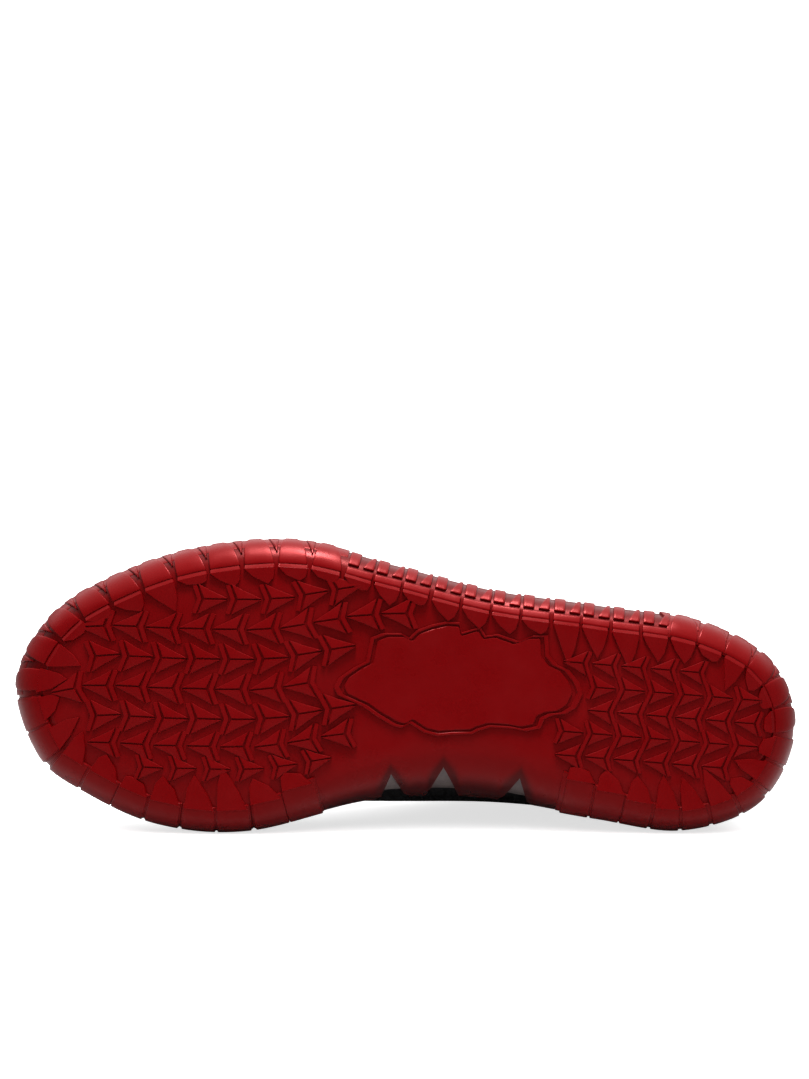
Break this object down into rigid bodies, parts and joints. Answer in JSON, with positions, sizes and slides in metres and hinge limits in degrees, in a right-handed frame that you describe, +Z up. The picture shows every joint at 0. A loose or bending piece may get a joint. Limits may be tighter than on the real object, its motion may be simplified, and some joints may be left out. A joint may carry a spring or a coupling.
{
  "type": "basketball shoe",
  "caption": "Left basketball shoe lying on its inner side: red lugged cup outsole, foam midsole, hollow fabric upper, padded tongue and crossed laces.",
  "frame": {"origin": "centre of the bounding box at floor level, under the shoe as it lies on its inner side", "axes": "toe towards -X, tread facing -Y, outer side of the foot up along +Z"},
  "size_m": [0.2992, 0.1376, 0.112],
  "materials": {
    "outsole": "satin",
    "midsole": "matt foam",
    "insole": "matt",
    "upper": "knit",
    "eyestay": "satin",
    "tongue": "knit",
    "laces": "woven",
    "eyelet": "satin"
  },
  "bodies": {
    "root": {"outsole": "outsole", "midsole": "midsole", "insole": "insole", "upper": "upper", "eyestay": "eyestay", "tongue": "tongue", "laces": "laces", "eyelet_outer_1": "eyelet", "eyelet_outer_2": "eyelet", "eyelet_outer_3": "eyelet", "eyelet_outer_4": "eyelet", "eyelet_outer_5": "eyelet", "eyelet_outer_6": "eyelet", "eyelet_inner_1": "eyelet", "eyelet_inner_2": "eyelet", "eyelet_inner_3": "eyelet", "eyelet_inner_4": "eyelet", "eyelet_inner_5": "eyelet", "eyelet_inner_6": "eyelet"}
  },
  "joints": []
}
